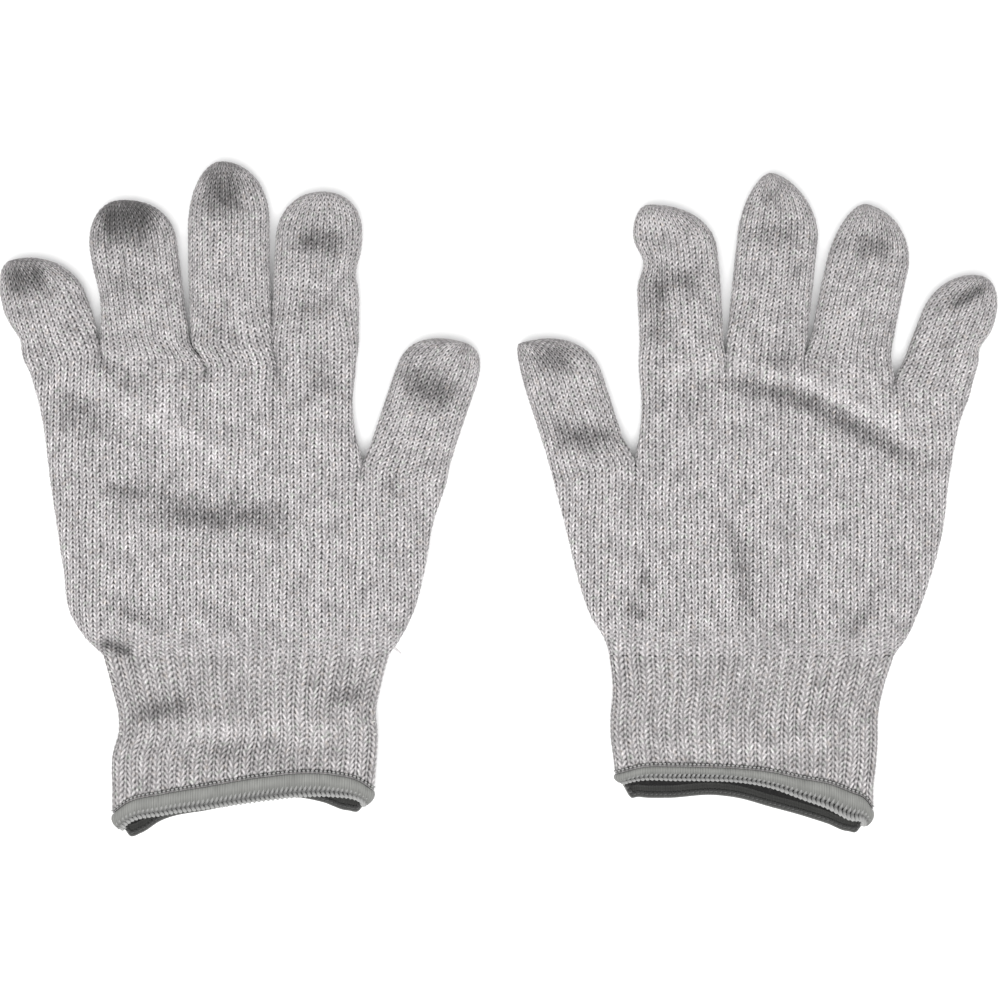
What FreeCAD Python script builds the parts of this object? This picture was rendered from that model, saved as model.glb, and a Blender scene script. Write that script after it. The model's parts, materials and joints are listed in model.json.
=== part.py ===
"""A pair of string-knit work gloves, lying side by side, each a tree of hollow knitted tubes.

Every glove is a palm, four fingers, a thumb and a ribbed cuff, which are the stretches of knitting
that fold against each other, then the elastic yarns laid in the cuff and the sewn hem at its mouth.
+X runs across the pair, +Y from the cuffs to the fingertips and +Z up, away from the surface that
the gloves lie on. The origin is the bottom centre of the pair. Lengths are millimetres.
"""
import FreeCAD, Part
import math
import os

# The pair and its knitting.
WRIST_SPACING = 172.8        # between the middles of the two wrists
WALL = 1.5                   # one layer of plain knitting
CUFF_WALL = 2.0              # one layer of ribbed knitting, with its elastic
HAND_HEIGHT = 11.0           # relaxed hollow palm or finger, lying flat
PRESSED = 0.05               # how far the palm's underside is pressed flat by its own weight

# The folds, where the knitting bends.
HINGE_HEIGHT = 0.65 * HAND_HEIGHT
FOLD_GAP = 0.6               # between the two faces of a fold at rest
SIDE_GAP = 1.6               # between a finger and the knitting beside its root
FINGER_FLEX = 70.0           # degrees
THUMB_FLEX = 50.0
CUFF_FLEX = 60.0
FLEX_MARGIN = 1.5            # degrees left over at the end of a fold's travel
PALM_REACH = 20.0            # how far a fold's cutter runs beyond the fold

# Fingers.
TIP_ROUNDING = 0.5           # length of the rounded tip, as a share of the finger's width
TIP_STEPS = (0.0, 0.35, 0.6, 0.78, 0.9, 0.97)
TIP_SHRINK = 0.6             # how much less a tip thins than it narrows

# Cuff and hem.
ELASTIC_ROUNDS = 8
ELASTIC_THICKNESS = 0.8
ELASTIC_CLEARANCE = 0.15
ELASTIC_FIRST = -5.5         # first round, from the wrist fold
ELASTIC_LAST = -34.5
HEM_TILT = 4.5               # degrees, so that the hem hangs lower on the little finger's side
SEAM_GAP = 0.1
CHAIN_LENGTH = 0.9           # each hem piece's length along the cuff
BAND_LENGTH = 4.2
EDGE_LENGTH = 1.8

# Loose end of yarn at the left wrist.
TAIL_RADIUS = 0.45
TAIL_START = (53.2, 5.0)
TAIL_LENGTH = 5.5

# Each glove is drawn from the middle of its wrist fold. A hand or cuff station is the distance
# from that fold, the left edge, the right edge and the height of the flattened tube there.
# A finger is the middle of its root, its lean to the right in degrees, its length, its width at
# the root and half way, and how far its tip bows to the right.
LEFT_GLOVE = {
    "lower_palm": [
        (-4.0, -47.7, 47.7, 11.0), (0.0, -48.7, 48.7, 11.0), (4.4, -53.6, 51.8, 11.0),
        (12.6, -59.3, 56.2, 11.0), (29.1, -62.4, 60.9, 11.0), (45.5, -64.8, 63.9, 11.0),
        (56.4, -66.5, 67.8, 11.0), (65.0, -67.3, 71.6, 11.0),
    ],
    "upper_palm": [
        (60.0, -66.9, 39.3, 11.0), (78.3, -69.2, 37.0, 11.0), (94.7, -73.3, 37.2, 11.0),
        (110.0, -77.0, 38.0, 11.0),
    ],
    "cuff": [
        (4.0, -49.3, 49.3, 11.0), (0.0, -48.7, 48.7, 11.0), (-12.0, -45.6, 45.6, 10.4),
        (-20.2, -43.6, 44.3, 10.0), (-26.0, -43.4, 44.9, 10.4), (-34.0, -45.5, 44.6, 11.4),
        (-44.5, -45.8, 43.3, 12.6),
    ],
    "fingers": {
        "little_finger": ((-62.4, 99.8), -15.8, 38.8, 27.4, 28.4, -1.0),
        "ring_finger": ((-34.0, 105.6), -8.3, 50.8, 28.6, 28.8, 0.6),
        "middle_finger": ((-4.3, 98.8), -4.2, 70.1, 25.6, 27.6, 0.0),
        "index_finger": ((23.6, 97.4), -0.5, 61.0, 28.2, 28.8, 3.2),
        "thumb": ((53.8, 61.2), 17.0, 49.8, 29.0, 28.0, -0.6),
    },
    "hem_tilt": -HEM_TILT,
}
RIGHT_GLOVE = {
    "lower_palm": [
        (-4.0, -47.7, 47.7, 11.0), (0.0, -48.6, 48.4, 11.0), (4.6, -50.0, 52.0, 11.0),
        (13.0, -54.9, 56.1, 11.0), (25.3, -59.2, 60.5, 11.0), (41.7, -63.2, 64.9, 11.0),
        (58.1, -67.5, 67.0, 11.0), (66.0, -70.3, 68.0, 11.0),
    ],
    "upper_palm": [
        (61.0, -39.3, 67.6, 11.0), (78.6, -37.8, 70.4, 11.0), (86.8, -37.6, 73.3, 11.0),
        (99.1, -38.4, 77.9, 11.0), (112.0, -38.2, 80.0, 11.0),
    ],
    "cuff": [
        (4.0, -49.2, 49.2, 11.0), (0.0, -48.6, 48.4, 11.0), (-12.0, -47.5, 44.6, 10.4),
        (-22.0, -48.3, 42.9, 10.0), (-28.0, -48.2, 42.8, 10.4), (-36.0, -47.2, 42.3, 11.4),
        (-42.5, -46.0, 41.4, 12.6),
    ],
    "fingers": {
        "thumb": ((-54.0, 61.5), -18.2, 50.8, 28.4, 27.6, 0.5),
        "index_finger": ((-23.9, 99.5), -1.0, 54.7, 28.6, 28.4, -3.2),
        "middle_finger": ((4.6, 102.0), 5.6, 62.8, 26.2, 27.2, -3.0),
        "ring_finger": ((32.8, 98.8), 8.5, 55.7, 28.2, 28.4, -2.2),
        "little_finger": ((61.2, 89.2), 16.8, 43.7, 26.0, 24.2, 0.6),
    },
    "hem_tilt": HEM_TILT,
}


def oval(x, y, width, height, lean=0.0, inset=0.0, base=0.0):
    """Upright flat-sided oval across a tube that points lean degrees to the right of +Y."""
    across = FreeCAD.Vector(math.cos(math.radians(lean)), -math.sin(math.radians(lean)), 0)
    middle = FreeCAD.Vector(x, y, base + height / 2)
    run = across * ((width - height) / 2)
    radius = height / 2 - inset
    up = FreeCAD.Vector(0, 0, radius)
    side = across * radius
    right = Part.Arc(middle + run + up, middle + run + side, middle + run - up)
    left = Part.Arc(middle - run - up, middle - run - side, middle - run + up)
    top = Part.LineSegment(middle - run + up, middle + run + up)
    bottom = Part.LineSegment(middle + run - up, middle - run - up)
    return Part.Wire([edge.toShape() for edge in (top, right, bottom, left)])


def tube(stations, inset=0.0, tilt=0.0):
    """Solid through flat-sided ovals; the last one is turned by tilt, as a hem is."""
    wires = []
    for y, left, right, height in stations:
        turn = tilt if (y, left, right, height) == stations[-1] else 0.0
        wires.append(oval((left + right) / 2, y, right - left, height, turn, inset))
    return Part.makeLoft(wires, True, True)


def finger_blank(finger, inset=0.0):
    """Solid finger with a rounded tip, running a little way back behind its root."""
    (root_x, root_y), lean, length, root_width, middle_width, bow = finger
    ahead = (math.sin(math.radians(lean)), math.cos(math.radians(lean)))
    across = (ahead[1], -ahead[0])
    rounding = TIP_ROUNDING * middle_width
    straight = length - rounding
    sections = [(-4.0, root_width, 1.0), (0.0, root_width, 1.0)]
    sections += [(share * straight, middle_width, 1.0) for share in (0.3, 0.5, 0.75)]
    for step in TIP_STEPS:
        narrow = math.sqrt(1 - step ** 2)
        thin = 1 - TIP_SHRINK * (1 - narrow)
        sections.append((straight + step * (rounding - inset), middle_width * narrow, thin))
    wires = []
    for along, width, thin in sections:
        offset = bow * max(along, 0.0) ** 2 / length ** 2
        x = root_x + along * ahead[0] + offset * across[0]
        y = root_y + along * ahead[1] + offset * across[1]
        height = HAND_HEIGHT * thin
        width = max(width, height + 0.5)
        wires.append(oval(x, y, width, height, lean, inset, (HAND_HEIGHT - height) / 2))
    return Part.makeLoft(wires, True, True)


def fold_cutter(root, lean, flex, half_width, reach, side):
    """Everything beyond a fold: a wide prism whose near face slopes away above the hinge.

    side is 1 for the piece beyond the fold, which keeps what lies inside the prism, and -1 for
    the piece before it, which loses that.
    """
    top = HAND_HEIGHT + 4.0
    slope = math.tan(math.radians(flex / 2 + FLEX_MARGIN))
    face = side * FOLD_GAP / 2
    upper_face = face + side * (top - HINGE_HEIGHT) * slope
    outline = [(face, -2.0), (reach, -2.0), (reach, top), (upper_face, top), (face, HINGE_HEIGHT)]
    corners = [FreeCAD.Vector(0, along, z) for along, z in outline]
    profile = Part.Face(Part.makePolygon(corners + corners[:1]))
    prism = profile.extrude(FreeCAD.Vector(2 * half_width, 0, 0))
    prism.translate(FreeCAD.Vector(-half_width, 0, 0))
    prism.rotate(FreeCAD.Vector(), FreeCAD.Vector(0, 0, 1), -lean)
    prism.translate(FreeCAD.Vector(root[0], root[1], 0))
    return prism


def flex_of(finger_name):
    return THUMB_FLEX if finger_name == "thumb" else FINGER_FLEX


def finger(name, shape):
    """One hollow finger, open at its root and closed at its tip."""
    root, lean, length = shape[:3]
    widest = max(shape[3:5])
    shell = finger_blank(shape).cut(finger_blank(shape, WALL))
    return shell.common(fold_cutter(root, lean, flex_of(name), widest, length + PALM_REACH, 1))


def surface():
    """Block under the plane that the gloves lie on, wide enough for one glove."""
    size = 2 * WRIST_SPACING
    return Part.makeBox(size, size, HAND_HEIGHT, FreeCAD.Vector(-size / 2, -size / 2, -HAND_HEIGHT))


def palm(glove):
    """Hollow palm with the base of the thumb, open at the wrist and at each finger's root."""
    outer = tube(glove["lower_palm"]).fuse(tube(glove["upper_palm"]))
    inner = tube(glove["lower_palm"], WALL).fuse(tube(glove["upper_palm"], WALL))
    shell = outer.cut(inner)
    shell.translate(FreeCAD.Vector(0, 0, -PRESSED))
    shell = shell.cut(surface())
    for name, shape in glove["fingers"].items():
        root, lean = shape[:2]
        half_width = shape[3] / 2 + SIDE_GAP
        shell = shell.cut(fold_cutter(root, lean, flex_of(name), half_width, PALM_REACH, -1))
    wrist = fold_cutter((0, 0), 180.0, CUFF_FLEX, PALM_REACH * 4, PALM_REACH, -1)
    return largest(shell.cut(wrist))


def largest(shape):
    """The main solid of a cut shape, without the slivers that the cutters leave beside it."""
    return max(shape.Solids, key=lambda solid: solid.Volume)


def cuff_size(glove, y):
    """Left edge, right edge and height of the cuff at a distance from the wrist."""
    stations = glove["cuff"]
    for near, far in zip(stations, stations[1:]):
        if far[0] <= y <= near[0]:
            share = (near[0] - y) / (near[0] - far[0])
            return [a + (b - a) * share for a, b in zip(near[1:], far[1:])]
    return list(stations[-1][1:])


def cuff_ring(glove, y, length, outer_inset, inner_inset, tilt=0.0):
    """Short hollow ring round the cuff's own section, between two insets from its outside."""
    left, right, height = cuff_size(glove, y)
    stations = [(y, left, right, height), (y - length, left, right, height)]
    solids = []
    for inset in (outer_inset, inner_inset):
        wires = [oval((a + b) / 2, at, b - a, h, tilt, inset) for at, a, b, h in stations]
        solids.append(Part.makeLoft(wires, True, True))
    return solids[0].cut(solids[1])


def elastic_places():
    step = (ELASTIC_LAST - ELASTIC_FIRST) / (ELASTIC_ROUNDS - 1)
    return [ELASTIC_FIRST + step * count for count in range(ELASTIC_ROUNDS)]


def cuff(glove):
    """Ribbed tube from the wrist to the hem, with a groove inside for each round of elastic."""
    shell = tube(glove["cuff"], 0.0, glove["hem_tilt"])
    shell = shell.cut(tube(glove["cuff"], CUFF_WALL, glove["hem_tilt"]))
    shell = shell.common(fold_cutter((0, 0), 180.0, CUFF_FLEX, PALM_REACH * 4, PALM_REACH * 4, 1))
    for y in elastic_places():
        groove_top = y + ELASTIC_CLEARANCE
        groove_length = ELASTIC_THICKNESS + 2 * ELASTIC_CLEARANCE
        depth = CUFF_WALL - ELASTIC_THICKNESS - ELASTIC_CLEARANCE
        shell = shell.cut(cuff_ring(glove, groove_top, groove_length, depth, CUFF_WALL + 1.0))
    return largest(shell)


def elastic(glove):
    """Elastic yarns, one closed round in each groove of the cuff."""
    depth = CUFF_WALL - ELASTIC_THICKNESS
    places = elastic_places()
    return Part.makeCompound(
        [cuff_ring(glove, y, ELASTIC_THICKNESS, depth, CUFF_WALL) for y in places])


def hem(glove):
    """The sewn mouth: a line of chain stitch, the rolled band and the overlocked edge."""
    tilt = glove["hem_tilt"]
    start = glove["cuff"][-1][0] - SEAM_GAP
    pieces = {}
    sizes = [("chain_stitch", CHAIN_LENGTH, 0.2), ("hem_band", BAND_LENGTH, 0.0),
             ("overlock_edge", EDGE_LENGTH, 0.3)]
    for name, length, inset in sizes:
        pieces[name] = cuff_ring(glove, start, length, inset, CUFF_WALL, tilt)
        start -= length + SEAM_GAP
    return pieces


def yarn_tail():
    """Loose end of yarn, curling up from the side of the left palm by the wrist."""
    start = FreeCAD.Vector(TAIL_START[0], TAIL_START[1], HAND_HEIGHT / 2)
    middle = start + FreeCAD.Vector(0.6 * TAIL_LENGTH, -0.1 * TAIL_LENGTH, 0)
    end = start + FreeCAD.Vector(TAIL_LENGTH, 0.3 * TAIL_LENGTH, 0)
    path = Part.Wire([Part.Arc(start, middle, end).toShape()])
    ring = Part.Wire([Part.makeCircle(TAIL_RADIUS, start, middle - start)])
    return path.makePipeShell([ring], True, True)


def glove_nodes(side, glove, wrist_x):
    """Every node of one glove, by name, moved to its own wrist."""
    pieces = {"palm": palm(glove), "cuff": cuff(glove), "cuff_elastic": elastic(glove)}
    for name, shape in glove["fingers"].items():
        pieces[name] = finger(name, shape)
    pieces.update(hem(glove))
    nodes = {}
    for name, piece in pieces.items():
        piece.translate(FreeCAD.Vector(wrist_x, 0, 0))
        nodes[side + "_" + name] = piece
    return nodes


def pair_nodes():
    """All nodes of the pair, and the shift that puts the origin at its bottom centre.

    Everything is drawn lying on z = 0 already, so the shift is a level one.
    """
    nodes = glove_nodes("left", LEFT_GLOVE, -WRIST_SPACING / 2)
    nodes.update(glove_nodes("right", RIGHT_GLOVE, WRIST_SPACING / 2))
    nodes["left_yarn_tail"] = yarn_tail().translated(FreeCAD.Vector(-WRIST_SPACING / 2, 0, 0))
    box = Part.makeCompound(list(nodes.values())).BoundBox
    shift = FreeCAD.Vector(-box.Center.x, -box.Center.y, 0)
    for piece in nodes.values():
        piece.translate(shift)
    return nodes, shift


def main():
    os.makedirs("parts", exist_ok=True)
    nodes, shift = pair_nodes()
    for name, piece in nodes.items():
        piece.exportStep("parts/" + name + ".step")
        print(name, "valid", piece.isValid(), "solids", len(piece.Solids),
              "volume", round(piece.Volume))
    box = Part.makeCompound(list(nodes.values())).BoundBox
    print("size", round(box.XLength, 1), round(box.YLength, 1), round(box.ZLength, 1),
          "shift", round(shift.x, 2), round(shift.y, 2), round(shift.z, 2))


main()
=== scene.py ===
import collections
import json
import math

import bmesh
import bpy
import mathutils
import numpy as np
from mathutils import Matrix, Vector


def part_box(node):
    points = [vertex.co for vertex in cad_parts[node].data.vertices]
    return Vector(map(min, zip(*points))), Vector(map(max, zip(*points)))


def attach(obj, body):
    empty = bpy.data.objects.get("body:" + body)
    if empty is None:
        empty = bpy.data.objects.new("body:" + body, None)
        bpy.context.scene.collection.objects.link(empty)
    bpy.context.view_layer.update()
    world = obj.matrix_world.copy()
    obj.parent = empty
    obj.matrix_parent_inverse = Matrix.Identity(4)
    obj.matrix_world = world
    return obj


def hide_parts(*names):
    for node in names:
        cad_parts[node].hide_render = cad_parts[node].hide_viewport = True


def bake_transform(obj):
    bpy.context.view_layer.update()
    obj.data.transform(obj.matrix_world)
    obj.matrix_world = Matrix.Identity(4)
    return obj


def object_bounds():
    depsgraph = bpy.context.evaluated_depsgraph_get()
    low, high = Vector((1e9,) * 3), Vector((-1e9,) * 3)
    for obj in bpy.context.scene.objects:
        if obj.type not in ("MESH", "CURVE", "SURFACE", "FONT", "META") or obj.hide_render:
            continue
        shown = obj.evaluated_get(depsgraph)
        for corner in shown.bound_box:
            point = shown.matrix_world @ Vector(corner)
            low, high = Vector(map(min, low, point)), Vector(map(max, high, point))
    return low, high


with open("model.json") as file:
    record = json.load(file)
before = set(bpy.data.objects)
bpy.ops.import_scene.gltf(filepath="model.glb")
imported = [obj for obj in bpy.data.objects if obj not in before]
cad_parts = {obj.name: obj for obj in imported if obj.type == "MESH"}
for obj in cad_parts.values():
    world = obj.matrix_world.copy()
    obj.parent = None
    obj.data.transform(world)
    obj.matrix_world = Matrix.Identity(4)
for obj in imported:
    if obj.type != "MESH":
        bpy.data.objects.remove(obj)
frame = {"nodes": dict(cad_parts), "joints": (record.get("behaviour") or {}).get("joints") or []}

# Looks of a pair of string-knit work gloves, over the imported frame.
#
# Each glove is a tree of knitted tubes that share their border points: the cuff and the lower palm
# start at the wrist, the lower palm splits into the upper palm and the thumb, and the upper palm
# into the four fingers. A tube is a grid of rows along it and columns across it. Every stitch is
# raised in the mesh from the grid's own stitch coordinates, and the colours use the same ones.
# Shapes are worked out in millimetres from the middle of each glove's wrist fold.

cad_low, cad_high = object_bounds()
MM = 0.001
JOINTS = {joint["name"]: joint for joint in frame["joints"]}

# Knitting: distance between stitch columns (wales) and between stitch rows (courses).
PALM_WALE, PALM_COURSE = 2.36, 1.68
FINGER_WALE, FINGER_COURSE = 2.1, 1.62
RIB_WALE, RIB_COURSE = 2 * PALM_WALE, 1.95
STITCH_HEIGHT = 0.65      # how far the yarn stands above the holes between stitches
LEG_OVERLAP = 1.3         # courses that one stitch's legs run over
PLAIN_LEGS = (0.42, 0.08, 0.42)  # a leg's place at its start and its end, in wales from the
RIB_LEGS = (0.33, 0.06, 0.62)  # stitch's middle line, and its radius
LEAST_FULL = 0.7          # height of the flattest stitches, as a share of the fullest
FULL_SEED = 7
FULL_TABLE = (97, 89)     # stitch legs and rows after which the fullness repeats
WALE_DRIFT = 0.16         # how far the stitch columns and rows wander, in stitches
COURSE_DRIFT = 0.55
RIB_DEPTH = 0.2           # how far the columns between the ribs are drawn in
RIB_SHARE = 0.76          # share of a rib repeat that stands proud
RIB_SHIFT = 0.25          # how far the ribs lie beside the plain wales, in rib repeats
RIB_STEEP = 1.6           # steepness of a rib's sides
RIB_STRENGTH = 0.74       # the ribs' mean strength, which wanders up to 1
BAR_MEAN = 0.62           # height of the crossing bars between the ribs
BAR_SWELL = 0.17          # how far that height rises and falls along a column
FLAT_RELIEF = 0.45        # relief where the stitches fade out
WAVE = 0.85               # height of the knitting's gentle unevenness

# Seed and wavelengths of what wanders. Each glove has its own seed for its unevenness.
WALE_WAVES = (5, (23.0, 13.0, 9.0))
COURSE_WAVES = (6, (31.0, 17.0, 11.0))
RIB_WAVES = (8, (64.0, 41.0, 29.0))
UNEVEN_LENGTHS = (52.0, 37.0, 26.0, 19.0, 14.0)

# Grid spacing.
WALE_COLUMNS = 6          # grid columns in one finger wale
COLUMN_STEP = FINGER_WALE / WALE_COLUMNS
ROW_STEP = 0.34
LEAST_ROWS = 8
TIP_CROWD = 1.2           # how much closer the rows of a tip are
BACK_STEP = 2             # the back has every second column
INSIDE_ROWS = 4           # the cuff's inside has every fourth row and second column
INSIDE_COLUMNS = 2
OVAL_SAMPLES = 4001

# Cross-sections.
SKIN = 0.5                # base surface to the surface that the CAD height is measured to
PALM_POWER = 3.4          # how square the flattened ovals are
FINGER_POWER = 2.5
WRIST_POWER = 3.0
CUFF_LAYER = 1.7          # outside to inside of the cuff's knitting
PINCH_REACH = 6.0         # how far a crotch's valley runs back into the palm
FINGER_SETTLE = 10.0      # over which a finger's border turns into its own oval
WALE_SETTLE = 26.0        # over which its stitch columns turn to run along it
WEB_FADE = 1.6            # stitches flatten this close to a crotch
TIP_THINNING = 0.55       # how much less a tip thins than it narrows
TIP_CLOSED = 0.012        # share of a finger's width left at its last row
TIP_FADE = 0.25           # thinness under which a tip's stitches flatten

# Cuff and hem.
RIB_START = 15.0          # how far above the wrist the ribs begin to show
RIB_SETTLE = 20.0         # over which they grow out of the plain knitting
INSIDE_SETTLE = 3.0       # over which the cuff's inner face leaves the outer one
MOUTH_LENGTH = 46.0       # distance from the wrist over which the cuff grows to its mouth
MOUTH_START = 0.2         # share of that distance where it begins to grow
MOUTH_GAPE = 1.6          # how much taller the mouth stands than the hand
HEM_FADE = 1.2            # stitches flatten this close to the hem
FOLD_FADE = 10.0          # folds flatten this close to the hem
BACK_BAND = 4.4           # width of the band on the mouth's back edge
HEM_CORNER = 0.12         # share of the mouth over which front and back meet
BAND_THICKNESS = 2.8
BAND_OUTSET = 0.7         # how far the band stands proud of the cuff
BAND_SIDES = 20
BAND_STEP = 0.3           # length of the grid's steps round the mouth
BAND_THREAD = 0.85        # between the ridges of the roll's thread
BAND_RIDGE = 0.04         # their height
RIDGE_RELIEF = 0.45       # how much of the relief's range they take
INNER_FROM = 0.15         # where the painted shade begins on the roll's inside and on its lower edge, as a share of its half thickness outwards and half width upwards
LOWER_FROM = 0.3          # share of its half thickness outwards and half width upwards
EDGE_SHADE = 0.35         # painted shade on the band's lower edge
BAND_WRAP = 2.5           # half the length that the thread's pattern has across the band
CHAIN_PITCH = 1.45        # length of a chain stitch
CHAIN_FILL = 0.72         # share of it that the stitch's own yarn fills
CHAIN_RISE = 0.9          # the chain stitches' distance above the hem
CHAIN_OUTSET = 0.1        # how far their ends stand proud
CHAIN_BOW = 0.15          # how much further their middles do
CHAIN_POINTS = 6
LOOP_PITCH = 1.6          # distance between overlock loops
LOOP_CLIMB = 0.4          # share of the band's width that the loops run up over its face
LOOP_TUCK = 0.6           # how far inside the band's lower edge the loops cross to its back
BACK_LOOP_RAISE = 1.2     # how much further inside they cross on the mouth's back edge
BACK_FADE = 3.0           # how fast the front edge's loops turn into the back edge's
LOOP_START = 0.12         # half turns round the band's lower edge, from its face
LOOP_END = 1.2
LOOP_POINTS = 13
LOOP_SIDE = 0.375         # loops reach out where the band's face looks up more than this
LOOP_FADE = 2.4           # how fast they grow there
LOOP_WRAP = 0.8           # share of the band's thickness that they run round
LOOP_OUTSET = 0.1         # how far they stand proud
CLIMB_OUTSET = 0.35       # how much further for each millimetre that they run up
LOOP_SLANT = 0.3          # zigzag to either side, as a share of the pitch
LOOP_WAVES = 5            # zigzags in a full turn
LOOP_BEND = 0.31          # half turns to the gap at the zigzag's turn, which gets painted shade
LOOP_GAP = 0.07           # its length
LOOP_SHADE = 0.75         # its painted shade
NEEDLE_HOLE = 0.5         # reach of the holes between the chain stitches
HOLE_DEPTH = 0.6
# painted shade in the needle holes
HOLE_SHADE = 0.9
FLOOR_GAP = 0.1           # lowest height of the band

# Loose yarns: radii, and the elastic's and the loose end's ways.
CHAIN_YARN = 0.25
LOOP_YARN = 0.58
ELASTIC_YARN = 0.32
TAIL_YARN = 0.42
YARN_RELIEF = 0.8
YARN_SIDES = 8
YARN_END = 6              # how suddenly a yarn tapers at its ends
YARN_TIP = 0.1            # share of the radius left there
ELASTIC_ROUNDS = 8
ELASTIC_SIDES = 6
ELASTIC_STEP = 4          # grid columns between the points of an elastic yarn
ELASTIC_INSET = 1.0       # how far inside the cuff's face it lies
ELASTIC_SIDE = 0.6        # share of that at the cuff's sides
TAIL_POINTS = 14
TAIL_START = 0.4          # how far beside the CAD's end the loose yarn end starts
TAIL_DROOP = 3.2          # how far it curves towards the cuff
TAIL_ARCH = 1.2           # how high it arches
TAIL_TURN = 2.6           # how far round the arch it goes, in radians

# Folds.
FOLD_STEEP = 0.8          # a fold is this much narrower on its right side
FOLD_SHADE = 0.25         # painted shade of a fold, and painted highlight of a ridge, for each millimetre of its depth
SHADE_RANGE = (-0.4, 0.6)  # brightest painted highlight on a ridge and darkest painted shade in a fold
FOLD_FULL = 0.4           # share of a fold's line that has its full depth
FOLD_TAPER = 1.25         # how fast the depth falls towards its ends
SHADE_RELIEF = 0.5        # how much of the painted shade also lowers the stitches' light legs, and of a ridge's painted highlight raises them

# Surfaces, light and view. Places and sizes of the studio are in metres.
SHEEN_ROUGHNESS = 0.6
SPECULAR_LEVEL = 0.25
FLOOR_REACH = 3.0
FLOOR_LEVEL = -0.2        # millimetres
KEY_PLACE = (-0.1, -0.42, 1.1)
KEY_SIZE = 1.1
KEY_POWER = 17.0
FILL_PLACE = (0.5, 0.4, 1.1)
FILL_SIZE = 1.2
FILL_POWER = 2.0
WORLD_LIGHT = 0.75
CAMERA_LENS = 100.0       # focal length in millimetres
VIEW_WIDTH = 341.8        # millimetres across the view
VIEW_CENTRE = (0.8, -3.7)
VIEW_LEVEL = 5.5          # height at which the view has that width

# Each glove. Palm edges are (distance from the wrist, left edge, right edge). Crotches are the
# points between the fingers, with the outer corners of the first and last finger at the ends. The
# outer point is where the lower and the upper palm meet on the little finger's side.
# A finger is (middle width, rounding of its tip, squareness of its tip, bow to the right, how far
# its tip's top lies right of the middle, as a share of the half width). A nip draws in one side of
# a finger: (-1 for its left or 1 for its right, distance from the wrist, depth, reach).
# The hem's front and back edges are (share across from -1 to 1, distance from the wrist). The
# band's width on the front edge and the loops' reach below the band are (share across, length).
# The tuck is how far the hem's lower edge is drawn in at the mouth's left and right side.
# A fold is (the points of its line, how far it reaches to the side, depth). A ridge has a depth
# below zero. A fold also gets painted shade, and a ridge a painted highlight, in step with its
# depth.
LEFT = {
    "side": "left",
    "seed": 4,
    "lower_edges": [(0, -48.7, 48.7), (4.4, -53.6, 51.8), (12.6, -59.3, 56.2),
                    (29.1, -62.4, 60.9), (45.5, -64.8, 63.9), (57.5, -66.6, 67.9)],
    "outer_point": (-67.2, 62.5),
    "thumb_crotch": (39.8, 65.3),
    "thumb_corner": (67.9, 57.5),
    "left_edge": [(62.5, -67.2), (78.3, -69.2), (86.5, -70.9), (95.8, -73.6)],
    "right_edge": [(65.3, 39.8), (78.3, 36.7), (86.5, 36.2), (96.7, 37.2)],
    "crotches": [(-73.6, 95.8), (-49.7, 103.6), (-13.5, 97.8), (10.4, 98.1), (37.2, 96.7)],
    "fingers": {
        "little_finger": (28.2, 0.66, 2.1, -2, -0.4),
        "ring_finger": (29.6, 0.54, 2.1, 0.6, -0.25),
        "middle_finger": (27.6, 0.76, 2, 3.8, -0.25),
        "index_finger": (29.4, 0.56, 2.3, 2.9, 0),
        "thumb": (27.6, 0.52, 2.4, 1.4, 0.4),
    },
    "nips": {
        "little_finger": (-1, 106.5, 2.2, 5.5),
        "ring_finger": (-1, 122, 1.4, 9),
        "index_finger": (1, 130.5, 1.5, 5.5),
    },
    "cuff_edges": [(0, -48.7, 48.7), (-12, -45.6, 45.6), (-20.2, -43.6, 44.3),
                   (-26, -43.4, 44.9), (-34, -45.5, 44.6), (-46, -45.6, 43.6)],
    "mouth_edges": (-45, 43.7),
    "front": [(-1, -54), (-0.9, -50.6), (-0.6, -46.9), (-0.28, -44.4), (0.18, -41),
              (0.43, -39.9), (0.68, -40.4), (0.9, -43), (1, -46)],
    "back": [(-1, -54), (-0.9, -61.9), (-0.8, -61.2), (-0.66, -57.4), (-0.28, -53.5),
             (0.18, -50), (0.4, -49.2), (0.6, -50.7), (0.8, -53.5), (0.92, -52.8), (1, -46)],
    "band": [(-1, 5.6), (1, 5.4)],
    "tuck": (2.2, 2.2),
    "loops": [(-1, 1.4), (-0.6, 2.2), (0.8, 2.1), (1, 1)],
    "folds": [
        ([(-83, 126.5), (-66.5, 130)], 6.5, 1.9),
        ([(-52, 147.5), (-29, 149.5)], 9, 2.6),
        ([(-15, 158), (-0.5, 158.5)], 10, 1.9),
        ([(15, 141.5), (35, 141)], 5.4, 1.5),
        ([(15, 118), (33, 117.5)], 5, 0.7),
        ([(20, 92.3), (34, 91.5)], 6, 0.6),
        ([(-48, 128), (-28, 125)], 5, 0.6),
        ([(-14, 112), (-6, 104)], 5, 0.6),
        ([(52.5, 95.7), (72.3, 85.4)], 6, 1.6),
        ([(45.6, 59.8), (52.5, 58)], 6, 0.6),
        ([(-63.7, 87.2), (-44.9, 76.9)], 7, 0.9),
        ([(-50, 100), (-36, 89)], 3, 0.9),
        ([(-63.7, 94), (-30, 81), (1.2, 61.5)], 4, -0.75),
        ([(-51.8, 57.4), (-21, 54)], 3.6, 0.9),
        ([(-33, 48.5), (-10, 46.8), (15, 48)], 5, 1.5),
        ([(-48.4, 17.1), (-27.9, 10.3)], 2.6, 0.8),
        ([(-14.2, 18.8), (-2.2, 8.5)], 2.6, 0.7),
        ([(-50, 4.5), (-38, 0.5)], 2.4, 2),
        ([(-41.5, -20.5), (-28, -18.5), (-15.9, -15.4)], 4.4, 1.5),
        ([(26.8, -13.7), (43.9, -12.6)], 4, 1.2),
        ([(-39.8, -25.5), (42, -24.5)], 4, -0.7),
        ([(-19.6, -33.5), (14.9, -32.5)], 5, 0.5),
    ],
}
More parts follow.
